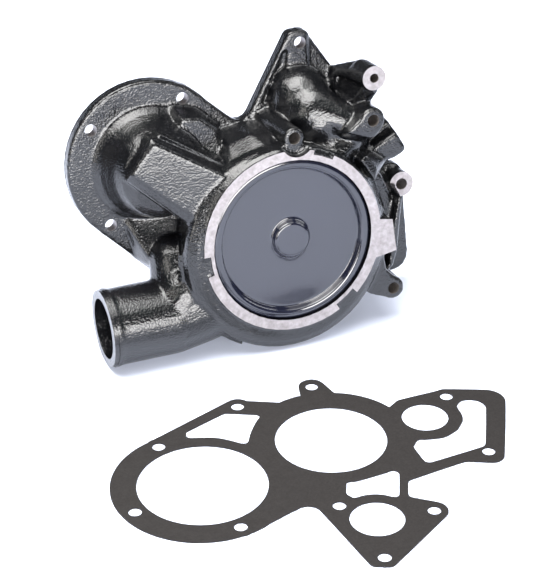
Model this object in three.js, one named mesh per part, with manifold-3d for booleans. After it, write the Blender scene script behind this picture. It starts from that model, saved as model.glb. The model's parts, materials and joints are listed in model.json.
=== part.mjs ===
// Gear-driven coolant pump of a diesel engine, with its loose mounting gasket.
//
// The pump is drawn in its own frame: x to the right seen from the front, y backwards, z up, with
// the origin on the shaft axis in the plane of the mounting face.  The finished pump leans back on
// its volute, the way it rests on a bench, and the gasket lies turned over on the bench before it.
import * as THREE from "three";
import { ConvexGeometry } from "three/addons/geometries/ConvexGeometry.js";
import { mergeVertices } from "three/addons/utils/BufferGeometryUtils.js";
import Module from "manifold-3d";

const wasm = await Module();
wasm.setup();

// ---------------------------------------------------------------- driving dimensions, millimetres
const GAP = 0.3; // left between pieces that touch
const LEAN = THREE.MathUtils.degToRad(9.3); // the body rests on the taper of its volute

const FLANGE_FRONT = -10;
const POCKET_DEPTH = 5; // relief pockets in the mounting face
const EAR_RADIUS = 9.4;
const BOLT_RADIUS = 4.5; // clearance for M8

// Each bolt: place on the mounting face, and the y of the face that its head sits on.
const BOLTS = {
  lower_left: { x: -67.1, z: -36.8, face: FLANGE_FRONT },
  bottom: { x: -15.7, z: -64.4, face: FLANGE_FRONT },
  lower_right: { x: 80.5, z: -56.5, face: -64 },
  right: { x: 108, z: 9, face: -23.7 },
  upper_right: { x: 69.8, z: 77, face: -65 },
  middle: { x: 7.6, z: 74.9, face: -66.8 },
  top: { x: 37.6, z: 127.4, face: FLANGE_FRONT },
  dome_top: { x: -55.6, z: 100.4, face: FLANGE_FRONT },
  dome_left: { x: -125.8, z: 88.1, face: FLANGE_FRONT },
  dome_bottom: { x: -117.8, z: 14.4, face: FLANGE_FRONT },
};

// Coolant passages through the mounting face, and the opening that the bearing nose goes through.
const BYPASS = { x: -84.2, z: 55.8, radius: 44.2, land: 62 };
const NOSE = { x: 0, z: 0, radius: 38.7, land: 57.5 };
const OUTLET = { x: 32.6, z: 87.7, radius: 18.2 };
const DRAIN = { x: 65.1, z: -29.9, radius: 16.3 };

const RING_FRONT = -72.8; // machined face round the core plug
const RING_OUTER = 68.5;
const PLUG_BORE = 61;
const PLUG_SEAT = -60;
const NOSE_OUTER = 35;
const NOSE_BACK = 28;

// The volute's outer wall is a cone that stands a little lower and left of the shaft.
const VOLUTE = { x: -3, z: -7, front: 78, back: 68, channel: 67 };

const PIPE = { y: -40, z: -52, outer: 28.5, bore: 22.5, end: -139 };

const SHAFT = { front: -57.5, impeller: 7.7, seal: 8.7, bearing: 9.7, gear: 8.7, thread: 6.7, back: 59 };
const BEARING = { inner: 10, outer: 23.4, bore: 23.7, width: 14, pitch: 16.35, ball: 3.5, balls: 8 };
const FRONT_BEARING = -13;
const REAR_BEARING = 9;
const BEARING_SHOULDER = -13.5;
const OIL_SEAL_FRONT = -21.3;
const SEAL_BORE = 18.5;
const SEAL_BACK = -27.5;
const CHAMBER_BACK = -40;

const GEAR = { teeth: 28, module: 2.5, front: 30, back: 44, bore: 9, hub: 15 };

const GASKET_THICKNESS = 1;
const GASKET_SWING = THREE.MathUtils.degToRad(155.7);
const GASKET_PLACE = { x: -23.3, y: -199.2 }; // of its shaft opening, from the pump's shaft

// ---------------------------------------------------------------- solids
function trianglesOf(merged) {
  const corners = merged.index.array;
  const kept = [];
  for (let i = 0; i < corners.length; i += 3) {
    const [a, b, c] = corners.slice(i, i + 3);
    if (a !== b && b !== c && c !== a) kept.push(a, b, c);
  }
  return new Uint32Array(kept);
}

// A closed three.js geometry as a solid with its faces outwards, whichever way it was drawn.
function solid(geometry) {
  const bare = geometry.index ? geometry.toNonIndexed() : geometry.clone();
  bare.deleteAttribute("normal");
  bare.deleteAttribute("uv");
  const merged = mergeVertices(bare, 1e-4);
  const vertProperties = merged.attributes.position.array;
  const triVerts = trianglesOf(merged);
  const made = new wasm.Manifold(new wasm.Mesh({ numProp: 3, vertProperties, triVerts }));
  if (made.volume() > 0) return made;
  for (let i = 0; i < triVerts.length; i += 3) {
    [triVerts[i + 1], triVerts[i + 2]] = [triVerts[i + 2], triVerts[i + 1]];
  }
  return new wasm.Manifold(new wasm.Mesh({ numProp: 3, vertProperties, triVerts }));
}

// The solid's own skin: voids sealed inside the casting are filled, and loose chips are dropped.
function largestShell(made) {
  return made.decompose().reduce((best, shell) => (shell.volume() > best.volume() ? shell : best));
}

const join = (pieces) => pieces.reduce((whole, piece) => whole.add(piece));
const cut = (whole, cutters) => cutters.reduce((left, cutter) => left.subtract(cutter), whole);

// Revolved about the y direction at (x, z); the profile is a list of [radius, y].
function turned(profile, { x = 0, z = 0, steps = 24 } = {}) {
  const points = profile.map(([radius, y]) => new THREE.Vector2(radius, y));
  return solid(new THREE.LatheGeometry(points, steps).translate(x, 0, z));
}

function disc(radius, back, front, { x = 0, z = 0, steps = 24 } = {}) {
  const drum = new THREE.CylinderGeometry(radius, radius, back - front, steps);
  return solid(drum.translate(x, (back + front) / 2, z));
}

function tube(inner, outer, front, back, options) {
  return turned([[inner, front], [outer, front], [outer, back], [inner, back], [inner, front]], options);
}

// Extruded along y between two planes; the outline is a list of points in x and z.
function prism(outline, back, front) {
  const shape = new THREE.Shape(outline.map(([x, z]) => new THREE.Vector2(x, z)));
  const block = new THREE.ExtrudeGeometry(shape, { depth: back - front, bevelEnabled: false });
  return solid(block.rotateX(Math.PI / 2).translate(0, back, 0));
}

const hull = (points) => solid(new ConvexGeometry(points.map((p) => new THREE.Vector3(...p))));

// The tight skin round a row of balls, each [x, y, z, radius].
function capsule(balls, detail = 2) {
  const skin = balls.flatMap(([x, y, z, radius]) => {
    const ball = new THREE.IcosahedronGeometry(radius, detail).translate(x, y, z);
    const place = ball.attributes.position;
    return Array.from({ length: place.count }, (_, i) => [place.getX(i), place.getY(i), place.getZ(i)]);
  });
  return hull(skin);
}

// Two stacked outlines, each a list of [x, z] in the plane of its own y, wrapped in one skin.
function loft(backOutline, back, frontOutline, front) {
  const backPoints = backOutline.map(([x, z]) => [x, back, z]);
  const frontPoints = frontOutline.map(([x, z]) => [x, front, z]);
  return hull([...backPoints, ...frontPoints]);
}

// An outline whose corners [x, z, radius] are rounded off with arcs.
function rounded(corners) {
  const arcStep = THREE.MathUtils.degToRad(24);
  return corners.flatMap(([x, z, radius = 0], i) => {
    if (!radius) return [[x, z]];
    const here = new THREE.Vector2(x, z);
    const before = new THREE.Vector2(...corners.at(i - 1).slice(0, 2)).sub(here).normalize();
    const after = new THREE.Vector2(...corners[(i + 1) % corners.length].slice(0, 2)).sub(here).normalize();
    const half = Math.acos(THREE.MathUtils.clamp(before.dot(after), -1, 1)) / 2;
    const middle = before.clone().add(after).normalize().multiplyScalar(radius / Math.sin(half)).add(here);
    const start = before.clone().multiplyScalar(radius / Math.tan(half)).add(here).sub(middle);
    const end = after.clone().multiplyScalar(radius / Math.tan(half)).add(here).sub(middle);
    const sweep = Math.atan2(start.cross(end), start.dot(end));
    const steps = Math.max(1, Math.round(Math.abs(sweep) / arcStep));
    return Array.from({ length: steps + 1 }, (_, k) => {
      const spoke = start.clone().rotateAround(new THREE.Vector2(), (sweep * k) / steps).add(middle);
      return [spoke.x, spoke.y];
    });
  });
}

function finish(color, roughness, metalness) {
  return new THREE.MeshStandardMaterial({ color, roughness, metalness });
}

const blackPaint = () => finish(0x15171a, 0.28, 0.2);
const darkPaint = () => finish(0x1b1e26, 0.22, 0.3);
const castIron = () => finish(0x5a5854, 0.6, 0.8);
const steel = () => finish(0xa9a9a8, 0.3, 1);
const gearSteel = () => finish(0x77736d, 0.35, 1);
const rubber = () => finish(0x161616, 0.8, 0);
const ceramic = () => finish(0xe6e1d4, 0.35, 0);
const carbon = () => finish(0x2a2a2c, 0.5, 0.1);
const brass = () => finish(0xb08d4a, 0.35, 1);
const gasketSheet = () => finish(0x4b4644, 0.85, 0);

function piece(name, made, material) {
  const { vertProperties, triVerts } = made.getMesh();
  const geometry = new THREE.BufferGeometry();
  geometry.setAttribute("position", new THREE.BufferAttribute(vertProperties, 3));
  geometry.setIndex(new THREE.BufferAttribute(triVerts, 1));
  geometry.computeVertexNormals();
  const mesh = new THREE.Mesh(geometry, material);
  mesh.name = name;
  return mesh;
}

// ---------------------------------------------------------------- the mounting joint
const UPPER_OUTLINE = [
  [-45, 103], [-10.4, 71.2, 9], [29.5, 136.5, 5], [43, 136.5, 5], [77.7, 82.2], [71.8, 67.7],
  [53, 62.9, 4], [53, 44.8, 4], [91.7, 21.2, 6],
];
const LOWER_OUTLINE = [
  [80.5, -65.9], [76.6, -64.6], [46, -50, 4], [40, -41], [1, -57, 3], [-8, -70], [-20, -72.7],
  [-24.8, -62], [-21.5, -42.5, 4], [-58, -44, 3], [-61, -44], [-74, -43.1], [-128, 12],
];
// The gasket stands out past the casting along their right edge.
const GASKET_OUTLINE = [...UPPER_OUTLINE, [118.3, 21.5, 9], [123.3, -66.6, 14], ...LOWER_OUTLINE];
const CASTING_OUTLINE = [...UPPER_OUTLINE, [114.5, 21.5, 7], [118, -66.2, 14], ...LOWER_OUTLINE];

const WINDOWS = {
  lower_left: [
    [-99.6, 3.4, 2.5], [-77.6, -1.8, 54], [-57.2, 9.8, 3], [-55.6, -9.8, 55], [-49.8, -27.8, 3],
    [-75.6, -28.6, 5], [-100.6, -4.2, 3],
  ],
  upper: [
    [11.8, 48.6, 2], [11.8, 62, 4], [17, 66.4, 2], [29.9, 57.2, 26.5], [46.9, 65.5, 3], [47, 29, 4],
    [30.5, 43.6, 50],
  ],
  right: [
    [65.5, 25.5, 4], [106, 2.8, 5], [108.6, -53.6, 10], [90, -53.6, 8], [87.6, -44, 3],
    [95.7, -29.9, 26.5], [80.4, -3.4, 26.5], [60, -3.4, 4], [56.6, 6, 4],
  ],
};

function flangePlate(outline, back, front) {
  const ears = Object.values(BOLTS).map((bolt) => disc(EAR_RADIUS, back, front, { ...bolt, steps: 20 }));
  return join([
    prism(rounded(outline), back, front),
    disc(BYPASS.land, back, front, { ...BYPASS, steps: 48 }),
    disc(NOSE.land, back, front, { steps: 40 }),
    ...ears,
  ]);
}

function mountingGasket() {
  const [back, front] = [GASKET_THICKNESS, 0];
  const through = (hole, steps) => disc(hole.radius, back + 1, front - 1, { ...hole, steps });
  const bolts = Object.values(BOLTS).map((bolt) => through({ ...bolt, radius: BOLT_RADIUS }, 12));
  const windows = Object.values(WINDOWS).map((corners) => prism(rounded(corners), back + 1, front - 1));
  const ports = [through(BYPASS, 44), through(NOSE, 40), through(OUTLET, 24), through(DRAIN, 24)];
  return cut(flangePlate(GASKET_OUTLINE, back, front), [...bolts, ...windows, ...ports]);
}

// ---------------------------------------------------------------- the casting, outside
function voluteBody() {
  const cone = turned([
    [0, -12], [VOLUTE.back, -12], [VOLUTE.front, -62], [76.8, -66.5], [70, -70.6], [0, -71.3],
  ], { x: VOLUTE.x, z: VOLUTE.z, steps: 48 });
  const ring = turned([
    [0, -60], [RING_OUTER + 2, -60], [RING_OUTER + 2, -69.5], [RING_OUTER, -71], [RING_OUTER, RING_FRONT],
    [0, RING_FRONT],
  ], { steps: 48 });
  const tab = prism([[60, 5.5], [78.2, 2], [80.2, -22.7], [60, -26]], -58, RING_FRONT);
  return [cone, ring, tab];
}

// The parting-line rib that follows the volute's rim on the inlet side.
function rimRib() {
  const { x, z, front } = VOLUTE;
  const rib = tube(front - 4, front + 3, -60, -56.5, { x, z, steps: 48 });
  const side = prism([[x - 100, 2], [x - 55, 2], [x - 37, -50], [x - 37, -110], [x - 100, -100]], -50, -70);
  return rib.intersect(side);
}

function bearingNose() {
  return turned([
    [0, FLANGE_FRONT], [NOSE_OUTER, FLANGE_FRONT], [NOSE_OUTER, NOSE_BACK - 2],
    [NOSE_OUTER - 2, NOSE_BACK], [0, NOSE_BACK],
  ]);
}

function bypassDome() {
  return turned([
    [0, -5], [42.8, -5], [42.8, -11], [39.2, -15], [36.2, -23], [34, -34], [31, -42], [24, -47.5],
    [0, -50],
  ], { ...BYPASS, steps: 32 });
}

// The duct that carries the dome's coolant to the impeller, with a rib along its upper flank.
function bypassDuct() {
  const box = hull([
    [-92, -10, 84], [-112, -10, 56], [-66, -10, 12], [-36, -10, 62],
    [-95, -55, 89.8], [-115, -53, 60.5], [-112.6, -57.5, 66], [-93.5, -58.5, 86], [-74, -60, 22],
    [-66, -66, 25], [-46, -67, 56.5], [-50, -60, 10], [-30, -60, 48],
  ]);
  const ledge = loft(
    [[-66, 97], [-47, 92], [-30, 76], [-30, 45], [-80, 55]], -8,
    [[-64, 92], [-49.8, 90], [-38, 80], [-34, 45], [-80, 55]], -32,
  );
  const rib = loft(
    [[-90, 88], [-87, 91], [-40, 62], [-40, 52]], -36,
    [[-88, 88], [-86, 89.8], [-42.6, 60.6], [-42, 54]], -50,
  );
  return [box, ledge, rib];
}

// Smooth shoulder between the dome, the outlet elbow and the ring.
function upperShoulder() {
  return hull([
    [-31, -8, 72.5], [-13.6, -8, 75.2], [2, -8, 75], [-28, -8, 40], [10, -8, 40],
    [-34, -40, 69], [-16, -42, 76], [-2, -42, 73],
    [-46, -66, 50], [-27, -67, 62], [-8, -67, 67], [6, -67, 64], [0, -67, 40],
  ]);
}

function inletElbow() {
  const { y, z, outer, end } = PIPE;
  const bend = -86; // where the pipe starts to turn into the casting
  const pipe = new THREE.CylinderGeometry(outer, outer, bend - end, 36).rotateZ(Math.PI / 2);
  const bead = new THREE.CylinderGeometry(outer + 0.8, outer + 0.8, 3, 36).rotateZ(Math.PI / 2);
  return [
    solid(pipe.translate((end + bend) / 2, y, z)),
    solid(bead.translate(end + 5, y, z)),
    capsule([[bend, y, z, outer], [-64, y - 1, z + 4, outer - 0.5], [-44, y - 2, z + 14, 26]]),
    capsule([[bend, y, z, outer], [-76, y - 3, z + 17, 23]]),
    capsule([[-78, y, z + 12, 22], [-78, y + 12, z + 38, 19]]),
    hull([
      [-112, -5, 22], [-60, -5, 22], [-40, -5, -42], [-74, -5, -43], [-104, -5, -14],
      [-104, -13, 16], [-60, -20, 18], [-94, -32, -16], [-60, -34, -12], [-52, -36, -40], [-76, -34, -38],
    ]),
  ];
}

function outletElbow() {
  const { x, z } = OUTLET;
  return [
    disc(22.5, -5, -16, { x, z }),
    capsule([[x, -16, z, 22.5], [x + 7, -31, z - 14, 21.5]]),
    capsule([[x + 4, -29, z - 8, 21.5], [x + 20, -43, z - 13, 12.5]]),
    capsule([[x + 7, -31, z - 14, 19], [x + 17, -36, z - 40, 17]]),
  ];
}

function boltBosses() {
  const boss = ({ x, z, face }, radius) => disc(radius, -5, face, { x, z, steps: 20 });
  return [
    boss(BOLTS.middle, 7.8),
    boss(BOLTS.upper_right, 9.5),
    boss(BOLTS.right, 9.7),
    boss(BOLTS.lower_right, 8.8),
    loft(
      [[-4, 66], [10, 70], [24, 66], [14, 82], [0, 82]], -8,
      [[0, 60], [8, 66], [16, 60], [9, 70], [5, 70]], -60,
    ),
  ];
}

// Flat lug from the ring to the upper right bolt.
function upperRightLug() {
  const face = [[49.5, 71.2], [66, 83], [69, 86], [78, 76], [76, 69], [70, 64], [66, 65], [57, 68.5]];
  const root = [[42, 62], [62, 84], [68, 87], [79, 78], [78, 68], [70, 54], [56, 50]];
  return [
    loft(root, -30, face, BOLTS.upper_right.face),
    capsule([[61, -44, 58.5, 8.5], [48, -42, 50, 14]]),
  ];
}

const BRACKET_BOSS = { x: 73.2, z: 107.5, radius: 9, hole: 3.4, face: -62, back: -38 };

// Bracket with a tapped boss, standing off the flange between the top and upper right ears.
function topBracket() {
  const { x, z, radius, face, back } = BRACKET_BOSS;
  const web = hull([
    [61, -6, 106], [77.5, -6, 83], [60, -6, 84], [77, -40, 81], [60, -40, 85], [64, -55, 99],
    [75.5, -58, 94], [66, -14, 104], [70, -34, 114], [x, back, z + radius], [x + radius, back, z],
    [x + 6, -58, z - 8], [x - 8, -58, z + 4],
  ]);
  const pocket = hull([
    [60, -70, 104], [69, -70, 105], [62, -70, 89], [50, -70, 90],
    [62, -16, 101], [65.5, -16, 100], [62.5, -16, 87], [54, -16, 90],
  ]);
  return [cut(web, [pocket]), disc(radius, back, face, { x, z, steps: 24 })];
}

// Slanted block above the right ear, with a trough along its upper flank.
function sideBlock() {
  const block = hull([
    [62, -6, 36], [76, -6, 56], [93, -6, 66], [98, -6, 65], [109, -6, 48], [110, -6, 36], [96, -6, 22],
    [78, -38, 56.5], [90.5, -38, 64], [94, -38, 64.5], [71, -44, 45], [97, -44, 57.3], [103.6, -44, 45],
    [103.2, -44, 42.6], [95, -44, 38.5], [76, -44, 38],
  ]);
  const trough = hull([
    [76, -50, 54], [93, -50, 63.2], [108, -50, 69], [108, -50, 62], [95, -50, 57], [72, -50, 46],
    [79, -31, 53], [92, -31, 60], [106, -31, 66], [106, -31, 63], [93, -31, 58], [79, -31, 50.5],
  ]);
  const rampToRing = hull([
    [62, -6, 30], [88, -6, 30], [88, -6, 44], [62, -6, 48],
    [60, -62, 47], [65, -60, 50.5], [73, -60, 37], [70, -62, 30], [72, -45, 45], [86, -45, 37], [90, -40, 37],
  ]);
  return [cut(block, [trough]), rampToRing];
}

// The wall that closes the volute on the right: a valley beside the ring, then a rib down its edge.
function rightFlank() {
  const valley = loft(
    [[56, 47], [93, 22], [103, 12], [104, -42], [86, -58], [45, -50]], -6,
    [[50, 44], [84, 26], [92, 6], [90, -30], [78, -44], [40, -50]], -40,
  );
  const ringSide = loft(
    [[50, 44], [78, 26], [84, 2], [84, -26], [72, -42], [40, -50]], -38,
    [[50, 44], [68, 24], [78, 2], [79, -24], [70, -36], [40, -50]], -62,
  );
  const rib = loft(
    [[98, 14], [105, 12], [105, -44], [92, -54], [84, -50], [94, -34]], -8,
    [[94.5, 8], [97.5, 8], [92.5, -14], [91.5, -34], [87, -47], [84, -46], [88, -33], [89, -14]], -48,
  );
  return [valley, ringSide, rib];
}

function lowerRightWeb() {
  const { face } = BOLTS.lower_right;
  const arm = loft(
    [[88, -50], [84, -64], [60, -56], [50, -40], [70, -38]], -30,
    [[88.3, -54], [80, -65.2], [61.5, -57.8], [48, -42], [75.6, -40.6]], face,
  );
  const root = loft(
    [[58, -24], [78, -24], [80, -44], [50, -46]], -30,
    [[58, -26], [73.6, -26], [75.8, -42], [50, -44]], face,
  );
  return [arm, root];
}

// ---------------------------------------------------------------- the casting, inside
function pumpChamber() {
  return [
    disc(PLUG_BORE, PLUG_SEAT, RING_FRONT - 1, { steps: 48 }),
    disc(56, CHAMBER_BACK, PLUG_SEAT - 1, { steps: 32 }),
    disc(VOLUTE.channel, CHAMBER_BACK, -55, { x: VOLUTE.x, z: VOLUTE.z, steps: 32 }),
    disc(SEAL_BORE, SEAL_BACK, CHAMBER_BACK - 1),
    disc(14.2, OIL_SEAL_FRONT + 1, SEAL_BACK - 1, { steps: 32 }),
    disc(19, BEARING_SHOULDER + 1, OIL_SEAL_FRONT, { steps: 40 }),
    disc(BEARING.bore, NOSE_BACK + 1, BEARING_SHOULDER),
    tube(BEARING.bore - 1, BEARING.bore + 1.3, 23.3, 25.1),
  ];
}

// Leaked drops leave the space between the two seals through this hole in the underside.
function weepHole() {
  const hole = new THREE.CylinderGeometry(2.5, 2.5, 70, 16).translate(0, -24.2, -45);
  return solid(hole);
}

function coolantPassages() {
  const { y, z, bore, end } = PIPE;
  const inlet = new THREE.CylinderGeometry(bore, bore, -70 - end + 1, 32).rotateZ(Math.PI / 2);
  const dome = turned([
    [0, 1], [BYPASS.radius, 1], [BYPASS.radius, -6], [36.4, -9], [32.6, -23], [30.4, -34],
    [26.5, -40], [20, -43.5], [0, -46],
  ], { ...BYPASS, steps: 24 });
  const duct = hull([
    [-96, -20, 78], [-108, -20, 60], [-96, -46, 76], [-106, -46, 62],
    [-40, -24, 42], [-56, -24, 20], [-42, -54, 42], [-58, -54, 20],
  ]);
  return [
    solid(inlet.translate((end - 71) / 2, y, z)),
    capsule([[-76, y, z, bore], [-52, y - 4, z + 16, 14]], 1),
    dome,
    duct,
    disc(OUTLET.radius, 1, -16, { ...OUTLET, steps: 24 }),
    capsule([[OUTLET.x, -16, OUTLET.z, 17.5], [OUTLET.x + 7, -31, OUTLET.z - 14, 14]], 1),
    capsule([[OUTLET.x + 7, -31, OUTLET.z - 14, 14], [OUTLET.x + 12, -42, OUTLET.z - 44, 9]], 1),
    disc(DRAIN.radius, 1, -50, { ...DRAIN, steps: 24 }),
  ];
}

function boltHoles() {
  const short = { bottom: -7, lower_left: -7 }; // these two are tapped from behind
  const holes = Object.entries(BOLTS).map(([name, { x, z, face }]) =>
    disc(BOLT_RADIUS, 1, short[name] ?? face - 8, { x, z, steps: 12 }));
  const { x, z, hole, face, back } = BRACKET_BOSS;
  return [...holes, disc(hole, back, face - 1, { x, z, steps: 12 })];
}

// The ring's outer edge is notched for a spanner at two places, and cleared round the middle bolt.
function ringNotches() {
  const wedge = (from, to, radius) => {
    const at = (angle, r) => [r * Math.cos(angle), r * Math.sin(angle)];
    const [a, b] = [from, to].map(THREE.MathUtils.degToRad);
    const block = prism([at(a, 50), at(a, 90), at(b, 90), at(b, 50)], -71, RING_FRONT - 1);
    return block.subtract(disc(radius, -60, RING_FRONT - 2, { steps: 48 }));
  };
  return [
    wedge(180, 193, 63.6),
    wedge(-61.5, -46.4, 63.6),
    wedge(59.3, 73, 65.4),
    disc(12.4, BOLTS.middle.face, RING_FRONT - 1, { ...BOLTS.middle, steps: 36 }),
  ];
}

function pocketsInMountingFace() {
  return Object.values(WINDOWS).map((corners) => prism(rounded(corners), 1, -POCKET_DEPTH));
}

// The top ear is thinned on both sides of its bolt, which leaves a rim on its left edge.
function earRecesses() {
  return [
    prism([[3.2, 82.1], [24.8, 123], [27.9, 123], [26, 110], [19, 106.3], [13.7, 98.5], [10, 88]], -6.5, -20),
    prism([[44.5, 131], [52, 131], [62, 108], [60, 96], [57, 95], [50, 103.5], [43.5, 108.2]], -6.5, -20),
  ];
}

function pumpHousing() {
  const outside = [
    flangePlate(CASTING_OUTLINE, 0, FLANGE_FRONT),
    ...voluteBody(),
    rimRib(),
    bypassDome(),
    ...bypassDuct(),
    upperShoulder(),
    ...inletElbow(),
    ...outletElbow(),
    ...boltBosses(),
    ...upperRightLug(),
    ...topBracket(),
    ...sideBlock(),
    ...rightFlank(),
    ...lowerRightWeb(),
  ];
  const behindFace = prism([[-200, -200], [200, -200], [200, 200], [-200, 200]], 0, -100);
  return largestShell(cut(join(outside).intersect(behindFace).add(bearingNose()), [
    ...pumpChamber(),
    weepHole(),
    ...coolantPassages(),
    ...boltHoles(),
    ...ringNotches(),
    ...pocketsInMountingFace(),
    ...earRecesses(),
  ]));
}

// ---------------------------------------------------------------- pieces fixed in the casting
// Pressed cup: a rolled lip round a shallow dish, with a raised button at its middle.
function corePlug() {
  const wall = PLUG_BORE - GAP;
  return turned([
    [0, -70.2], [10.8, -70.2], [12.4, -69.7], [13.6, -68.5], [14.4, -66.9], [15.6, -65.9], [17.5, -65.6],
    [51.6, -66.4],
    [53.6, -66.9], [54.6, -68.8], [56, -70.4], [57.8, -70.9], [59.6, -70.3], [wall, -68.8],
    [wall, PLUG_SEAT - GAP], [58.2, PLUG_SEAT - GAP], [58.2, -67], [57.5, -67.8], [56.5, -67.2],
    [55.2, -64.6], [52, -63.9], [17, -63.1], [14, -63.8], [12.2, -65.6], [11.2, -67.3], [10.2, -67.7],
    [0, -67.7],
  ], { steps: 40 });
}

function sealCase() {
  return turned([
    [17.4, -36.5], [SEAL_BORE - GAP, -36.5], [SEAL_BORE - GAP, SEAL_BACK - GAP], [10.4, SEAL_BACK - GAP],
    [10.4, SEAL_BACK - 1.2], [17.4, SEAL_BACK - 1.2], [17.4, -36.5],
  ]);
}

const sealBellows = () => tube(10.4, 13.2, -31.2, SEAL_BACK - 1.5);
const sealFace = () => tube(9.9, 13, -34.4, -31.5);

function sealSpring() {
  const turns = 2.5;
  const coil = new THREE.Curve();
  coil.getPoint = (t) => {
    const angle = 2 * Math.PI * turns * t;
    return new THREE.Vector3(15.3 * Math.cos(angle), -34.6 + 4.2 * t, 15.3 * Math.sin(angle));
  };
  const wire = new THREE.Shape().absarc(0, 0, 0.7, 0, 2 * Math.PI);
  return solid(new THREE.ExtrudeGeometry(wire, {
    steps: 30, curveSegments: 3, bevelEnabled: false, extrudePath: coil,
  }));
}

function oilSealCase() {
  return turned([
    [17.4, -14], [18.7, -14], [18.7, -21], [12, -21], [12, -20], [17.4, -20], [17.4, -14],
  ]);
}

function oilSealLip() {
  return turned([
    [12, -19.7], [17.1, -19.7], [17.1, -17.6], [13, -17.6], [11.6, -14.6], [9.6, -14.6], [9.2, -16],
    [11, -18], [12, -19.7],
  ]);
}

// ---------------------------------------------------------------- bearings, front and rear alike
const outerRace = (front) => tube(20.2, BEARING.outer, front, front + BEARING.width);
const innerRace = (front) => tube(BEARING.inner, 12.5, front, front + BEARING.width);

function ballRow(front) {
  const { width, pitch, ball, balls } = BEARING;
  const middle = front + width / 2;
  const cage = tube(pitch - 0.9, pitch + 0.9, middle - 2, middle + 2, { steps: 24 });
  const row = Array.from({ length: balls }, (_, i) => {
    const angle = (2 * Math.PI * i) / balls;
    const round = new THREE.SphereGeometry(ball, 7, 5);
    return solid(round.translate(pitch * Math.cos(angle), middle, pitch * Math.sin(angle)));
  });
  return join([cage, ...row]);
}

const outerSpacer = () => tube(20.8, BEARING.outer, FRONT_BEARING + 14 + GAP, REAR_BEARING - GAP);
const innerSpacer = () => tube(BEARING.inner, 12, FRONT_BEARING + 14 + GAP, REAR_BEARING - GAP);

// Open ring that snaps into the groove behind the rear bearing, with a lug at each end.
function bearingCirclip() {
  const ring = tube(21.6, 24.6, 23.6, 24.8);
  const opening = prism([[-3, 15], [3, 15], [3, 30], [-3, 30]], 30, 20);
  const lug = (x) => disc(2, 24.8, 23.6, { x, z: 21.3, steps: 16 });
  const eye = (x) => disc(0.8, 26, 22, { x, z: 21.3, steps: 12 });
  return cut(join([ring.subtract(opening), lug(-4.4), lug(4.4)]), [eye(-4.4), eye(4.4)]);
}

// ---------------------------------------------------------------- pieces that turn
const KEY = { width: 4.4, depth: 7.2, from: 32, to: 42, top: 10.8 };

function keySlot(gap) {
  const { width, depth, from, to, top } = KEY;
  const half = width / 2 + gap;
  const outline = [[-half, depth - gap], [half, depth - gap], [half, top + gap], [-half, top + gap]];
  return prism(outline, to + gap, from - gap);
}

function pumpShaft() {
  const { front, impeller, seal, bearing, gear, thread, back } = SHAFT;
  const bar = turned([
    [0, front], [impeller - 0.8, front], [impeller, front + 0.8], [impeller, -38.5], [seal, -38.2],
    [seal, BEARING_SHOULDER - GAP], [bearing, BEARING_SHOULDER + GAP], [bearing, 23], [gear, 23.4],
    [gear, 44.6], [thread, 45], [thread, back - 1], [thread - 1, back], [0, back],
  ]);
  return cut(bar, [keySlot(GAP)]);
}

function impeller() {
  const vanes = 6;
  const backPlate = turned([[8, -44.6], [50, -44.6], [50, -42.2], [8, -41.4], [8, -44.6]], { steps: 36 });
  const hub = turned([[8, -57], [11.5, -57], [13.5, -50], [13.5, -38.8], [8, -38.8], [8, -57]]);
  const blade = (turn) => {
    const line = (side) => Array.from({ length: 7 }, (_, i) => {
      const radius = 12 + (i * 37.5) / 6;
      const angle = turn - (0.9 * i) / 6 + (side * 1.6) / radius;
      return [radius * Math.cos(angle), radius * Math.sin(angle)];
    });
    return prism([...line(1), ...line(-1).reverse()], -44, -55);
  };
  const blades = Array.from({ length: vanes }, (_, i) => blade((2 * Math.PI * i) / vanes));
  return join([backPlate, hub, ...blades]).subtract(disc(8, -30, -60));
}

const sealSeat = () => tube(9.2, 13.3, -38.4, -34.7);
const slinger = () => turned([[9, -26], [13, -24.6], [13, -23.8], [9, -23.4], [9, -26]], { steps: 24 });

// Straight-toothed timing gear on a hub, its rim joined by a web with six lightening holes.
function driveGear() {
  const { teeth, module, front, back, bore, hub } = GEAR;
  const [pitch, tip, root] = [(teeth * module) / 2, ((teeth + 2) * module) / 2, ((teeth - 2.5) * module) / 2];
  const tooth = [[root, -0.28], [pitch, -0.25], [tip, -0.11], [tip, 0.11], [pitch, 0.25], [root, 0.28]];
  const step = (2 * Math.PI) / teeth;
  const outline = Array.from({ length: teeth }, (_, i) => tooth.map(([radius, share]) => {
    const angle = (i + share) * step;
    return [radius * Math.cos(angle), radius * Math.sin(angle)];
  })).flat();
  const blank = join([prism(outline, back, front), disc(hub, GEAR.back + 1, 23.5)]);
  const hollow = (low, high) => tube(hub, root - 4, low, high);
  const holes = Array.from({ length: 6 }, (_, i) => {
    const angle = ((i + 0.5) * Math.PI) / 3;
    const [x, z] = [21.5 * Math.cos(angle), 21.5 * Math.sin(angle)];
    return disc(3.6, back + 1, front - 1, { x, z, steps: 12 });
  });
  const boreHole = disc(bore, 60, 20, { steps: 24 });
  return cut(blank, [boreHole, hollow(front - 1, front + 4), hollow(back - 4, back + 2), ...holes, keySlot(GAP)]);
}

const gearKey = () => keySlot(0);
const gearWasher = () => tube(8, 14, 45.4, 47.8);

function gearNut() {
  const hex = Array.from({ length: 6 }, (_, i) => {
    const angle = (i * Math.PI) / 3;
    return [13.2 * Math.cos(angle), 13.2 * Math.sin(angle)];
  });
  const chamfer = turned([
    [0, 48.1], [11.6, 48.1], [13.4, 49.2], [13.4, 56.2], [11.6, 57.3], [0, 57.3],
  ], { steps: 24 });
  return cut(prism(hex, 57.3, 48.1).intersect(chamfer), [disc(7, 60, 45)]);
}

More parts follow.
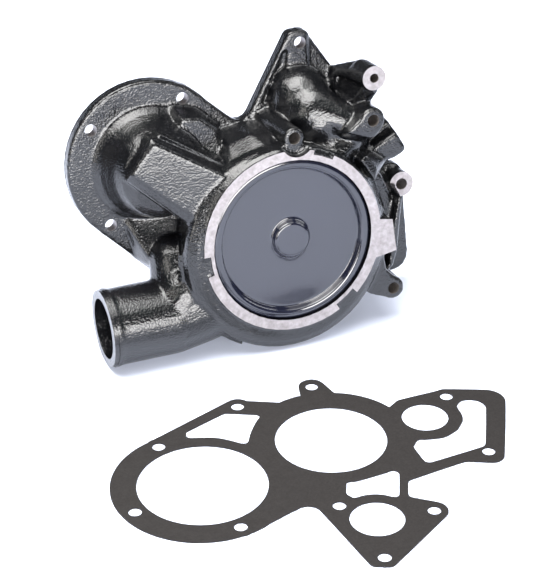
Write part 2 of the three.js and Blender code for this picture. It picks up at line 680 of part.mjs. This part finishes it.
// ---------------------------------------------------------------- assembly
const pump = new THREE.Group();
pump.add(
  piece("pump_housing", pumpHousing(), blackPaint()),
  piece("front_core_plug", corePlug(), darkPaint()),
  piece("impeller", impeller(), castIron()),
  piece("pump_shaft", pumpShaft(), steel()),
  piece("seal_case", sealCase(), brass()),
  piece("seal_bellows", sealBellows(), rubber()),
  piece("seal_face", sealFace(), carbon()),
  piece("seal_spring", sealSpring(), steel()),
  piece("seal_seat", sealSeat(), ceramic()),
  piece("slinger", slinger(), rubber()),
  piece("oil_seal_case", oilSealCase(), steel()),
  piece("oil_seal_lip", oilSealLip(), rubber()),
  piece("front_bearing_outer_race", outerRace(FRONT_BEARING), steel()),
  piece("front_bearing_inner_race", innerRace(FRONT_BEARING), steel()),
  piece("front_bearing_balls", ballRow(FRONT_BEARING), steel()),
  piece("rear_bearing_outer_race", outerRace(REAR_BEARING), steel()),
  piece("rear_bearing_inner_race", innerRace(REAR_BEARING), steel()),
  piece("rear_bearing_balls", ballRow(REAR_BEARING), steel()),
  piece("bearing_outer_spacer", outerSpacer(), steel()),
  piece("bearing_inner_spacer", innerSpacer(), steel()),
  piece("bearing_circlip", bearingCirclip(), steel()),
  piece("drive_gear", driveGear(), gearSteel()),
  piece("gear_key", gearKey(), steel()),
  piece("gear_washer", gearWasher(), steel()),
  piece("gear_nut", gearNut(), steel()),
);
pump.rotation.x = -LEAN;

// The gasket is drawn as the mounting face has it, then turned over, laid flat and swung round.
const gasket = piece("mounting_gasket", mountingGasket(), gasketSheet());
gasket.rotation.z = Math.PI;
const gasketLaidFlat = new THREE.Group().add(gasket);
gasketLaidFlat.rotation.x = -Math.PI / 2;
const gasketOnBench = new THREE.Group().add(gasketLaidFlat);
gasketOnBench.rotation.z = GASKET_SWING;

const rest = new THREE.Group().add(pump);
rest.updateMatrixWorld(true);
const bench = new THREE.Box3().setFromObject(pump, true).min.z;
gasketOnBench.position.set(GASKET_PLACE.x, GASKET_PLACE.y, bench);
rest.add(gasketOnBench);

// The origin is the middle of the whole set's footprint, on the bench.
rest.updateMatrixWorld(true);
const footprint = new THREE.Box3().setFromObject(rest, true).getCenter(new THREE.Vector3());
rest.position.set(-footprint.x, -footprint.y, -bench);

export default new THREE.Group().add(rest);
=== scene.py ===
"""A gear-driven engine coolant pump in black gloss paint, with its loose gasket, on a pale floor.

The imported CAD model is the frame.  The casting is made again from its CAD solid: blended and
roughened as sand-cast iron is, with the machined faces and drilled holes put back crisp.
"""

import json
import math

import bmesh
import bpy
import numpy as np
from mathutils import Matrix, Vector


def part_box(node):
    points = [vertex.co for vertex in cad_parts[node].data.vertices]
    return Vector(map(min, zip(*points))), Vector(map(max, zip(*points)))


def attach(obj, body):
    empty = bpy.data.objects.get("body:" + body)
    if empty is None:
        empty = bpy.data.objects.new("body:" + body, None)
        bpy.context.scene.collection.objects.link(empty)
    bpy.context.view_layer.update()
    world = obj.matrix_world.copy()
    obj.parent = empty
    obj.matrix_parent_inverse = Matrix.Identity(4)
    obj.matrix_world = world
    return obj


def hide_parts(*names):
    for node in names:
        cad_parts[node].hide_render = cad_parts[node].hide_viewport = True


MM = 0.001
WELD_DISTANCE = 1e-6

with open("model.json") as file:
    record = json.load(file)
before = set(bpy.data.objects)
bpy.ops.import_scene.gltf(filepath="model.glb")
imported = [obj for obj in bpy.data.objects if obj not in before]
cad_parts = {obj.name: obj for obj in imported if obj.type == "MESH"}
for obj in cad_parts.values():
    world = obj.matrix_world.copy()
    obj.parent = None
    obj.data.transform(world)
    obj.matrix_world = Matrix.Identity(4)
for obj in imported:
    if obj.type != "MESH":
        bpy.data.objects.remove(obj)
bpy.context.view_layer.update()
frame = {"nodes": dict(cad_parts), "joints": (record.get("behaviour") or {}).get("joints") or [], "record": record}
nodes = frame["nodes"]

# ------------------------------------------------------------------ the pump's own frame
# Millimetres, x to the right, y backwards along the shaft, z up, with the origin on the shaft in
# the plane of the mounting face.
shaft_joint = next(j for j in frame["joints"] if j["name"] == "shaft_spin")
SHAFT_ORIGIN = Vector(shaft_joint["pos_m"])
BACKWARDS = Vector(shaft_joint["axis"]).normalized()
RIGHTWARDS = Vector((1, 0, 0))
UPWARDS = RIGHTWARDS.cross(BACKWARDS)
TURN = Matrix((RIGHTWARDS, BACKWARDS, UPWARDS)).transposed().to_4x4()
PUMP = Matrix.Translation(SHAFT_ORIGIN) @ TURN @ Matrix.Scale(MM, 4)

RING_FRONT = -72.8
FLANGE_FRONT = -10
NOSE_RADIUS = 36
BOLT_RADIUS = 4.5

# Each bolt: x, z, and the y of the face that its head sits on.
BOLTS = {
    "lower_right": (80.5, -56.5, -64),
    "right": (108, 9, -23.7),
    "upper_right": (69.8, 77, -65),
    "middle": (7.6, 74.9, -66.8),
    "top": (37.6, 127.4, FLANGE_FRONT),
    "dome_top": (-55.6, 100.4, FLANGE_FRONT),
    "dome_left": (-125.8, 88.1, FLANGE_FRONT),
    "dome_bottom": (-117.8, 14.4, FLANGE_FRONT),
}
OPEN_BOLTS = ("top", "dome_top", "dome_left", "dome_bottom")
BRACKET_BOSS = {"x": 73.2, "z": 107.5, "face": -62, "back": -38, "hole": 3.4}
CHAMBER = {"radius": 60, "front": -71, "back": -1}  # behind the plug


# ------------------------------------------------------------------ materials
# Lengths here are in metres: a noise scale counts per metre, and a bump's distance is its height.
def new_material(name, **inputs):
    """A Principled material, with constants set on the shader's own sockets."""
    made = bpy.data.materials.new(name)
    made.use_nodes = True
    shader = made.node_tree.nodes["Principled BSDF"]
    for socket, value in inputs.items():
        shader.inputs[socket.replace("_", " ")].default_value = value
    return made


def add(material, kind, **settings):
    """A new node, with each setting put on its socket of that name, or else on the node."""
    node = material.node_tree.nodes.new(kind)
    for name, value in settings.items():
        if name in node.inputs.keys():
            node.inputs[name].default_value = value
        else:
            setattr(node, name, value)
    return node


def link(material, source, target):
    material.node_tree.links.new(source, target)


def noise(material, scale, detail=3.0, roughness=0.55):
    place = add(material, "ShaderNodeTexCoord")
    texture = add(material, "ShaderNodeTexNoise", Scale=scale, Detail=detail, Roughness=roughness)
    link(material, place.outputs["Object"], texture.inputs["Vector"])
    return texture.outputs["Fac"]


def ramp(material, source, target, low, high, span=(0.3, 0.7)):
    """A texture spread between two colours or greys, led to a socket of the shader."""
    shade = add(material, "ShaderNodeValToRGB")
    for element, position, colour in zip(shade.color_ramp.elements, span, (low, high)):
        element.position = position
        element.color = (*colour, 1)
    link(material, source, shade.inputs["Fac"])
    shader = material.node_tree.nodes["Principled BSDF"]
    link(material, shade.outputs["Color"], shader.inputs[target])


def grey(value):
    return (value, value, value)


def bump(material, height, strength, distance, below=None):
    raised = add(material, "ShaderNodeBump", Strength=strength, Distance=distance)
    link(material, height, raised.inputs["Height"])
    if below:
        link(material, below.outputs["Normal"], raised.inputs["Normal"])
    return raised


def surface(material, last_bump):
    shader = material.node_tree.nodes["Principled BSDF"]
    link(material, last_bump.outputs["Normal"], shader.inputs["Normal"])
    return material


def cast_paint():
    """Thick black gloss over sand-cast iron: orange peel over the grains of the mould."""
    made = new_material(
        "black_gloss_paint", Specular_IOR_Level=0.55, Coat_Weight=0.2, Coat_Roughness=0.12
    )
    ramp(made, noise(made, 45), "Base Color", (0.002, 0.0022, 0.0028), (0.004, 0.0042, 0.005))
    ramp(made, noise(made, 300), "Roughness", grey(0.17), grey(0.24), span=(0.3, 0.75))
    grains = bump(made, noise(made, 800, detail=0.5), strength=0.45, distance=0.0008)
    peel = bump(made, noise(made, 1900, detail=1.0), strength=0.25, distance=0.0002, below=grains)
    return surface(made, peel)


def machined_iron():
    """Bare iron from the milling cutter, warm grey, with a fine grain."""
    made = new_material("machined_iron", Metallic=0.85, Anisotropic=0.3)
    texture = noise(made, 260, detail=5.0)
    ramp(made, texture, "Base Color", (0.2, 0.18, 0.18), (0.4, 0.375, 0.375), span=(0.2, 0.8))
    ramp(made, noise(made, 900), "Roughness", grey(0.4), grey(0.58))
    return surface(made, bump(made, noise(made, 2200), strength=0.3, distance=0.0002))


def raw_iron():
    """Unpainted cast iron, dull and brownish, as it is inside the passages and tapped holes."""
    made = new_material("raw_iron", Metallic=0.6)
    texture = noise(made, 120, detail=4.0)
    ramp(made, texture, "Base Color", (0.10, 0.085, 0.075), (0.22, 0.2, 0.185))
    ramp(made, noise(made, 500), "Roughness", grey(0.55), grey(0.75))
    return surface(made, bump(made, noise(made, 700), strength=0.6, distance=0.0006))


def plug_enamel():
    """Smooth blue-grey enamel on the pressed steel plug."""
    made = new_material(
        "plug_enamel", Specular_IOR_Level=0.72, Coat_Weight=0.35, Coat_Roughness=0.05
    )
    ramp(made, noise(made, 14), "Base Color", (0.006, 0.007, 0.014), (0.008, 0.009, 0.018))
    ramp(made, noise(made, 60), "Roughness", grey(0.1), grey(0.13))
    return surface(made, bump(made, noise(made, 250, detail=2.0), strength=0.08, distance=0.0003))


def steel(name, low, high, roughness=0.3):
    """Bright metal between two colours."""
    made = new_material(name, Metallic=1.0)
    ramp(made, noise(made, 300, detail=4.0), "Base Color", low, high)
    ramp(made, noise(made, 800), "Roughness", grey(roughness - 0.05), grey(roughness + 0.1))
    return surface(made, bump(made, noise(made, 1800), strength=0.15, distance=0.0001))


def dull(name, low, high, roughness, scale=400):
    """Rubber, ceramic or carbon between two colours."""
    made = new_material(name)
    ramp(made, noise(made, scale, detail=4.0), "Base Color", low, high)
    spread = 0.08
    rough = noise(made, 2 * scale)
    ramp(made, rough, "Roughness", grey(roughness - spread), grey(roughness + spread))
    return surface(made, bump(made, noise(made, 3 * scale), strength=0.25, distance=0.0002))


def gasket_sheet():
    """Pressed fibre sheet: dark, faintly warm, with a fine fleck."""
    made = new_material("gasket_sheet", Specular_IOR_Level=0.3)
    fleck = noise(made, 700, detail=6.0)
    ramp(made, fleck, "Base Color", (0.008, 0.0066, 0.0064), (0.015, 0.0128, 0.0124))
    ramp(made, noise(made, 90), "Roughness", grey(0.62), grey(0.78))
    return surface(made, bump(made, noise(made, 1500, detail=4.0), strength=0.35, distance=0.0002))


# ------------------------------------------------------------------ mesh helpers
def new_object(name, mesh):
    made = bpy.data.objects.new(name, mesh)
    bpy.context.scene.collection.objects.link(made)
    return made


def polygon_area(section):
    """Positive where the section's points run anticlockwise."""
    turned = section[1:] + section[:1]
    return sum(a[0] * b[1] - b[0] * a[1] for a, b in zip(section, turned)) / 2


def prism(name, section, back, front):
    """A closed block between two y planes; the section is a list of x and z in the pump's frame."""
    count = len(section)
    corners = [(x, y, z) for y in (back, front) for x, z in section]
    sides = [(i, (i + 1) % count, count + (i + 1) % count, count + i) for i in range(count)]
    ends = [tuple(reversed(range(count))), tuple(range(count, 2 * count))]
    mesh = bpy.data.meshes.new(name)
    mesh.from_pydata([PUMP @ Vector(c) for c in corners], [], [*sides, *ends])
    if polygon_area(section) < 0:
        mesh.flip_normals()
    return new_object(name, mesh)


def drum(name, x, z, radius, back, front, steps=48):
    angles = [2 * math.pi * i / steps for i in range(steps)]
    section = [(x + radius * math.cos(a), z + radius * math.sin(a)) for a in angles]
    return prism(name, section, back, front)


def slab(name, x_range, y_range, z_range):
    (left, right), (back, front), (low, high) = x_range, y_range, z_range
    return prism(name, [(left, low), (right, low), (right, high), (left, high)], back, front)


def joined(name, objects):
    """One object of several overlapping closed meshes, which are used up."""
    corners, faces = [], []
    for piece in objects:
        start = len(corners)
        corners += [v.co.copy() for v in piece.data.vertices]
        faces += [tuple(start + i for i in face.vertices) for face in piece.data.polygons]
        bpy.data.objects.remove(piece)
    mesh = bpy.data.meshes.new(name)
    mesh.from_pydata(corners, [], faces)
    return new_object(name, mesh)


def apply_modifiers(piece):
    evaluated = piece.evaluated_get(bpy.context.evaluated_depsgraph_get())
    mesh = bpy.data.meshes.new_from_object(evaluated)
    piece.modifiers.clear()
    piece.data = mesh
    return piece


def welded(piece):
    """Corners that lie in one place become one, so that the faces share them."""
    modifier = piece.modifiers.new("weld", "WELD")
    modifier.merge_threshold = WELD_DISTANCE
    return apply_modifiers(piece)


def boolean(piece, operation, tool):
    """Joins a tool to the piece, or cuts the piece with it, and uses the tool up."""
    modifier = piece.modifiers.new("boolean", "BOOLEAN")
    modifier.operation = operation
    modifier.solver = "MANIFOLD"
    modifier.object = tool
    apply_modifiers(piece)
    bpy.data.objects.remove(tool)
    return piece


def face_outwards(piece):
    shape = bmesh.new()
    shape.from_mesh(piece.data)
    bmesh.ops.recalc_face_normals(shape, faces=shape.faces)
    shape.to_mesh(piece.data)
    shape.free()


def island_from(first, seen):
    """The faces that hang together with the first one, which are added to those seen."""
    island, waiting = [], [first]
    seen.add(first)
    while waiting:
        face = waiting.pop()
        island.append(face)
        for neighbour in (other for edge in face.edges for other in edge.link_faces):
            if neighbour not in seen:
                seen.add(neighbour)
                waiting.append(neighbour)
    return island


def largest_island(piece):
    """Drops the crumbs that the cuts leave beside the piece."""
    shape = bmesh.new()
    shape.from_mesh(piece.data)
    islands, seen = [], set()
    for face in shape.faces:
        if face not in seen:
            islands.append(island_from(face, seen))
    islands.sort(key=len, reverse=True)
    crumbs = [face for island in islands[1:] for face in island]
    bmesh.ops.delete(shape, geom=crumbs, context="FACES")
    shape.to_mesh(piece.data)
    shape.free()


def smooth_but_sharp_over(mesh, degrees):
    """Smooth shading, with an edge kept where two faces meet at more than the angle."""
    mesh.polygons.foreach_set("use_smooth", np.ones(len(mesh.polygons), bool))
    mesh.set_sharp_from_angle(angle=math.radians(degrees))


def copy_of_node(node, name):
    mesh = bpy.data.meshes.new(name)
    source = nodes[node].data
    triangles = [tuple(face.vertices) for face in source.polygons]
    mesh.from_pydata([v.co.copy() for v in source.vertices], [], triangles)
    return welded(new_object(name, mesh))


# ------------------------------------------------------------------ the casting
ALL = (-400, 400)
# Where a cutter has been over the casting, as ranges of x, y and z: the face is put back crisp
# from the CAD solid.
MACHINED_ZONES = {
    "mounting_face": (ALL, (150, -1.5), ALL),
    "ring": (ALL, (-71.5, -90), ALL),
    "pipe_end": ((-160, -134.3), (-5, -75), (-90, -15)),
    "right_bolt": ((96, 120), (-22.9, -26), (-3, 21)),
    "bracket_boss": ((62, 84), (-61.2, -64), (96, 119)),
}
ZONE_OVERLAP = 0.4

# Each texture of the sand: its size, and the height that it gives the skin.
SAND = {"lumps": (14, 0.2), "grains": (1.6, 0.1)}

# A face counts as machined if it lies this near to the cutter's plane, and faces along the shaft
# by this share.  A hole's wall lies this near to the drill, and faces along the shaft by less.
PLANE_SLACK = 0.08
FACES_ALONG = 0.9
WALL_SLACK = 0.15
WALL_FACES_ALONG = 0.5

# The bare rounds on the painted front: x, z, the y of the face, and the radius.
BARE_ROUNDS = (
    (*BOLTS["right"], 11),
    (BRACKET_BOSS["x"], BRACKET_BOSS["z"], BRACKET_BOSS["face"], 10),
)
PAINTED, BARE, RAW = range(3)


def drums_in_holes(name, wider, back, past_face):
    """A drum in each drilled hole, wider than the drill and reaching out past the face."""
    drums = [
        drum(name, x, z, BOLT_RADIUS + wider, back, face - past_face)
        for x, z, face in BOLTS.values()
    ]
    boss = BRACKET_BOSS
    radius, front = boss["hole"] + wider, boss["face"] - past_face
    return [*drums, drum(name, boss["x"], boss["z"], radius, boss["back"], front)]


def hole_plugs():
    """Fill the drilled holes, so that the smoothing doesn't open their mouths."""
    return drums_in_holes("plug", wider=1, back=-1, past_face=0)


def drilled_holes():
    return drums_in_holes("drill", wider=0, back=1, past_face=3)


def sand_cast(piece, voxel=1.0, smoothing=18):
    """Round every corner as a pattern is rounded, then roughen the skin as sand leaves it."""
    remesh = piece.modifiers.new("remesh", "REMESH")
    remesh.mode = "VOXEL"
    remesh.voxel_size = voxel * MM
    soften = piece.modifiers.new("soften", "SMOOTH")
    soften.factor = 0.5
    soften.iterations = smoothing
    for name, (size, height) in SAND.items():
        texture = bpy.data.textures.new(name, "CLOUDS")
        texture.noise_scale = size * MM
        texture.noise_depth = 2
        roughen = piece.modifiers.new(name, "DISPLACE")
        roughen.texture = texture
        roughen.texture_coords = "LOCAL"
        roughen.strength = height * MM
        roughen.mid_level = 0.5
    return apply_modifiers(piece)


def grown(zone, margin):
    """The zone reaching a little further into the casting, so that the crisp piece overlaps it."""
    (left, right), (back, front), (low, high) = zone
    return (
        (left - margin, right + margin),
        (back + margin, front - margin),
        (low - margin, high + margin),
    )


def casting():
    """The cast skin, with the machined faces and the drilled holes cut into it."""
    rough = [copy_of_node("pump_housing", "rough"), *hole_plugs()]
    piece = sand_cast(joined("fine_casting", rough))
    for zone in MACHINED_ZONES.values():
        crisp = copy_of_node("pump_housing", "crisp")
        boolean(crisp, "INTERSECT", slab("zone", *grown(zone, ZONE_OVERLAP)))
        boolean(piece, "DIFFERENCE", slab("zone", *zone))
        boolean(piece, "UNION", crisp)
    for drill in drilled_holes():
        boolean(piece, "DIFFERENCE", drill)
    largest_island(piece)
    paint_and_bare(piece.data)
    return piece


def faces_in_pump_frame(mesh):
    """The x, y and z of every face's centre, and how far the face looks backwards."""
    centres = np.empty(3 * len(mesh.polygons))
    normals = np.empty(3 * len(mesh.polygons))
    mesh.polygons.foreach_get("center", centres)
    mesh.polygons.foreach_get("normal", normals)
    into_pump = np.array(PUMP.inverted())
    x, y, z = into_pump[:3, :3] @ centres.reshape(-1, 3).T + into_pump[:3, 3:]
    facing = normals.reshape(-1, 3) @ np.array(TURN.to_3x3())[:, 1]
    return x, y, z, facing


def near(x, z, centre, radius):
    return np.hypot(x - centre[0], z - centre[1]) < radius


def machined(x, y, z, facing):
    """The ring, the mounting face, the bearing nose and the bare rounds."""
    bare = (abs(y - RING_FRONT) < PLANE_SLACK) & (facing < -FACES_ALONG)
    bare |= (abs(y) < PLANE_SLACK) & (facing > FACES_ALONG)
    bare |= (y > PLANE_SLACK) & near(x, z, (0, 0), NOSE_RADIUS)
    for centre_x, centre_z, face, radius in BARE_ROUNDS:
        in_plane = (abs(y - face) < PLANE_SLACK) & (facing < -FACES_ALONG)
        bare |= near(x, z, (centre_x, centre_z), radius) & in_plane
    return bare


def bolt_walls(bolts, x, z, facing):
    walls = np.zeros(len(x), bool)
    for bolt in bolts:
        walls |= near(x, z, BOLTS[bolt][:2], BOLT_RADIUS + WALL_SLACK)
    return walls & (abs(facing) < WALL_FACES_ALONG)


def unpainted_inside(x, y, z):
    """The tapped hole of the bracket's boss, and the chamber."""
    boss, chamber = BRACKET_BOSS, CHAMBER
    tapped = near(x, z, (boss["x"], boss["z"]), boss["hole"] + WALL_SLACK)
    within = near(x, z, (0, 0), chamber["radius"]) & (y > chamber["front"]) & (y < chamber["back"])
    return tapped | within


def paint_and_bare(mesh):
    """Painted skin, bare iron where a cutter has been, and raw iron inside."""
    mesh.materials.clear()
    for material in (cast_paint(), machined_iron(), raw_iron()):
        mesh.materials.append(material)
    x, y, z, facing = faces_in_pump_frame(mesh)
    hidden_bolts = [bolt for bolt in BOLTS if bolt not in OPEN_BOLTS]
    bare = machined(x, y, z, facing) | bolt_walls(OPEN_BOLTS, x, z, facing)
    raw = unpainted_inside(x, y, z) | bolt_walls(hidden_bolts, x, z, facing)
    index = np.where(raw, RAW, np.where(bare, BARE, PAINTED)).astype(np.int32)
    mesh.polygons.foreach_set("material_index", index)
    smooth_but_sharp_over(mesh, degrees=38)
    mesh.update()


# ------------------------------------------------------------------ the core plug
def lathe(name, profile, steps=160):
    """Revolved about the shaft; the profile runs from the axis round to the axis, as radius and y."""
    corners = []
    for i in range(steps):
        angle = 2 * math.pi * i / steps
        cosine, sine = math.cos(angle), math.sin(angle)
        corners += [PUMP @ Vector((r * cosine, y, r * sine)) for r, y in profile]
    count = len(profile)
    faces = []
    for i in range(steps):
        here, there = i * count, ((i + 1) % steps) * count
        faces += [(here + j, here + j + 1, there + j + 1, there + j) for j in range(count - 1)]
    mesh = bpy.data.meshes.new(name)
    mesh.from_pydata(corners, [], faces)
    return welded(new_object(name, mesh))


def eased(points, rounds=3):
    """Corners cut again and again, so that a profile of few points becomes a pressed curve."""
    for _ in range(rounds):
        cut = [points[0]]
        for a, b in zip(points, points[1:]):
            cut.append((a[0] * 0.75 + b[0] * 0.25, a[1] * 0.75 + b[1] * 0.25))
            cut.append((a[0] * 0.25 + b[0] * 0.75, a[1] * 0.25 + b[1] * 0.75))
        points = [*cut, points[-1]]
    return points


def core_plug():
    """Pressed cup: a rolled lip round a shallow dish, with a raised button at its middle."""
    button = [(0, -70.3), (10.8, -70.3), (12.6, -70), (13.8, -68.4), (14.4, -66.6), (16, -65.7)]
    dish = [(40, -66), (51.4, -66.2), (52.8, -66.4)]
    lip = [(53.4, -68), (54.2, -70.2), (56, -71), (58.6, -71), (60.2, -70.4), (60.7, -68.8)]
    rim = [(60.7, -60.3), (58.2, -60.3), (58.2, -66)]
    back = [(52, -63.9), (17, -63.1), (12, -67.7), (0, -67.7)]
    piece = lathe("fine_core_plug", [*eased([*button, *dish, *lip]), *rim, *back])
    piece.data.materials.append(plug_enamel())
    smooth_but_sharp_over(piece.data, degrees=50)
    return piece


# ------------------------------------------------------------------ the gasket
def top_edges(node, upward=0.9, level=1e-5):
    """The closed edges of a flat sheet's upper face, each a list of points in the plane."""
    mesh = nodes[node].data
    top = max(v.co.z for v in mesh.vertices)
    spot = {v.index: (round(v.co.x, 6), round(v.co.y, 6)) for v in mesh.vertices}
    steps = {}  # a dict, because it keeps its order and a set doesn't
    for face in mesh.polygons:
        if face.normal.z < upward or abs(face.center.z - top) > level:
            continue
        ring = [spot[i] for i in face.vertices]
        for a, b in zip(ring, ring[1:] + ring[:1]):
            steps[(a, b)] = True
    after = {a: b for a, b in steps if (b, a) not in steps}
    loops = []
    while after:
        start, here = after.popitem()
        loop = [start]
        while here != start:
            loop.append(here)
            here = after.pop(here)
        loops.append([Vector(point) for point in loop])
    return loops


def between(start, leave, end, arrive, t):
    """A point on the curve that leaves the start and arrives at the end along two slopes."""
    return (
        start * (2 * t**3 - 3 * t**2 + 1) + leave * (t**3 - 2 * t**2 + t)
        + end * (3 * t**2 - 2 * t**3) + arrive * (t**3 - t**2)
    )


def smooth_loop(loop, parts=6, sharp=math.radians(40)):
    """Curves through the corners of each drawn arc, while straight edges and true corners stay."""
    count = len(loop)
    edges = [loop[(i + 1) % count] - loop[i] for i in range(count)]
    points = []
    for i, edge in enumerate(edges):
        before, after = edges[i - 1], edges[(i + 1) % count]
        leave = before + edge if before.angle(edge) < sharp else edge
        arrive = edge + after if edge.angle(after) < sharp else edge
        leave, arrive = leave.normalized() * edge.length, arrive.normalized() * edge.length
        end = loop[(i + 1) % count]
        points += [between(loop[i], leave, end, arrive, k / parts) for k in range(parts)]
    return points


def gasket_curve(thickness):
    """The sheet's outline and openings as one flat curve with a thickness."""
    curve = bpy.data.curves.new("gasket_outline", "CURVE")
    curve.dimensions = "2D"
    curve.fill_mode = "BOTH"
    inset = 0.00004  # holds the smooth arcs inside the polygons that they go through
    curve.offset = -inset
    curve.extrude = thickness / 2
    for loop in top_edges("mounting_gasket"):
        points = smooth_loop(loop)
        spline = curve.splines.new("POLY")
        spline.points.add(len(points) - 1)
        spline.use_cyclic_u = True
        for corner, point in zip(spline.points, points):
            corner.co = (point.x, point.y, 0, 1)
    return curve


def fine_gasket():
    low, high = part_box("mounting_gasket")
    shape = new_object("gasket_shape", gasket_curve(high.z - low.z))
    shape.location.z = (high.z + low.z) / 2
    bpy.context.view_layer.update()
    evaluated = shape.evaluated_get(bpy.context.evaluated_depsgraph_get())
    mesh = bpy.data.meshes.new_from_object(evaluated)
    mesh.transform(shape.matrix_world)
    bpy.data.objects.remove(shape)
    sheet = welded(new_object("fine_gasket", mesh))
    face_outwards(sheet)
    sheet.data.materials.clear()
    sheet.data.materials.append(gasket_sheet())
    sheet.data.set_sharp_from_angle(angle=math.radians(40))
    return sheet


# ------------------------------------------------------------------ the CAD nodes that stay
def repaint_cad_nodes():
    """Noise materials in place of the flat ones, by the slot that the record gives each node."""
    finishes = {
        "steel": steel("ground_steel", (0.52, 0.52, 0.51), (0.66, 0.66, 0.65)),
        "gear_steel": steel("gear_steel", (0.3, 0.28, 0.26), (0.45, 0.43, 0.41), 0.38),
        "iron": raw_iron(),
        "brass": steel("drawn_brass", (0.55, 0.4, 0.18), (0.7, 0.53, 0.27), 0.35),
        "rubber": dull("black_rubber", (0.012, 0.012, 0.012), (0.03, 0.03, 0.03), 0.7),
        "ceramic": dull("seal_ceramic", (0.7, 0.66, 0.58), (0.82, 0.79, 0.72), 0.35),
        "carbon": dull("seal_carbon", (0.02, 0.02, 0.022), (0.05, 0.05, 0.052), 0.5),
    }
    for row in frame["record"]["subparts"]:
        slot, node = row["material_slot"], nodes[row["node"]]
        if slot not in finishes:
            continue
        for place in node.material_slots:
            place.material = finishes[slot]


# ------------------------------------------------------------------ floor, light, camera
SOFTBOX_AIM = SHAFT_ORIGIN + Vector((-0.01, -0.03, 0.02))
# Each softbox faces the pump from its direction; distances and sizes are in metres.
SOFTBOXES = {
    "front_box": {
        "direction": (-0.1, -1.0, 0.27), "distance": 1.6, "size": (1.3, 0.55),
        "power": 40, "colour": (0.99, 0.98, 0.98),
    },
    "top_box": {
        "direction": (-0.3, 0.1, 1.0), "distance": 1.4, "size": (1.4, 1.2),
        "power": 46, "colour": (1.0, 0.99, 0.97),
    },
    "left_strip": {
        "direction": (-1.0, -0.5, 0.35), "distance": 1.5, "size": (0.25, 0.9),
        "power": 6, "colour": (1.0, 0.97, 0.92),
    },
    "right_strip": {
        "direction": (1.0, -0.2, 0.6), "distance": 1.5, "size": (0.25, 0.9),
        "power": 6, "colour": (0.95, 0.97, 1.0),
    },
}


def floor():
    side = 6
    mesh = bpy.data.meshes.new("floor")
    corners = [(-side, -side, 0), (side, -side, 0), (side, side, 0), (-side, side, 0)]
    mesh.from_pydata(corners, [], [(0, 1, 2, 3)])
    ground = new_object("floor", mesh)
    paper = new_material("floor_paper", Roughness=0.9, Specular_IOR_Level=0.1)
    texture = noise(paper, 2)
    ramp(paper, texture, "Base Color", (0.72, 0.77, 0.91), (0.74, 0.79, 0.93), span=(0.2, 0.8))
    mesh.materials.append(paper)
    ground.location.z = -0.0002  # clear of the gasket's underside


def area_light(name, direction, distance, size, power, colour):
    lamp = bpy.data.lights.new(name, "AREA")
    lamp.shape = "RECTANGLE"
    lamp.size, lamp.size_y = size
    lamp.energy = power
    lamp.color = colour
    box = bpy.data.objects.new(name, lamp)
    towards = Vector(direction).normalized()
    box.location = SOFTBOX_AIM + towards * distance
    box.rotation_euler = towards.to_track_quat("Z", "Y").to_euler()
    bpy.context.scene.collection.objects.link(box)


def ceiling_light():
    """Even light for the floor, near and far."""
    ceiling = bpy.data.lights.new("ceiling", "SUN")
    ceiling.energy = 2.6
    ceiling.angle = math.radians(60)
    bpy.context.scene.collection.objects.link(bpy.data.objects.new("ceiling", ceiling))


def room_light():
    world = bpy.data.worlds.new("studio")
    bpy.context.scene.world = world
    world.use_nodes = True
    background = world.node_tree.nodes["Background"]
    background.inputs["Color"].default_value = (0.94, 0.96, 1.0, 1)
    background.inputs["Strength"].default_value = 0.08


def studio_light():
    for name, settings in SOFTBOXES.items():
        area_light(name, **settings)
    ceiling_light()
    room_light()


def camera():
    """A long lens from the upper left of the pump's front."""
    azimuth, elevation, roll = math.radians(21.107), math.radians(30.953), math.radians(0.29)
    distance = 1.5
    aim = SHAFT_ORIGIN + Vector((0.0003, -0.0256, -0.0536))
    away = Vector((
        -math.sin(azimuth) * math.cos(elevation),
        -math.cos(azimuth) * math.cos(elevation),
        math.sin(elevation),
    ))
    data = bpy.data.cameras.new("camera")
    data.sensor_width = 36
    data.lens = 123.6
    data.clip_end = 50
    eye = bpy.data.objects.new("camera", data)
    turn = away.to_track_quat("Z", "Y").to_matrix() @ Matrix.Rotation(-roll, 3, "Z")
    eye.matrix_world = Matrix.Translation(aim + away * distance) @ turn.to_4x4()
    bpy.context.scene.collection.objects.link(eye)
    bpy.context.scene.camera = eye


# ------------------------------------------------------------------ the scene
body_casting = casting()
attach(body_casting, "body")
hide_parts("pump_housing")

plug = core_plug()
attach(plug, "body")
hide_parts("front_core_plug")

sheet = fine_gasket()
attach(sheet, "gasket")
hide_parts("mounting_gasket")

repaint_cad_nodes()
floor()
studio_light()
camera()
bpy.context.scene.view_settings.view_transform = "Standard"
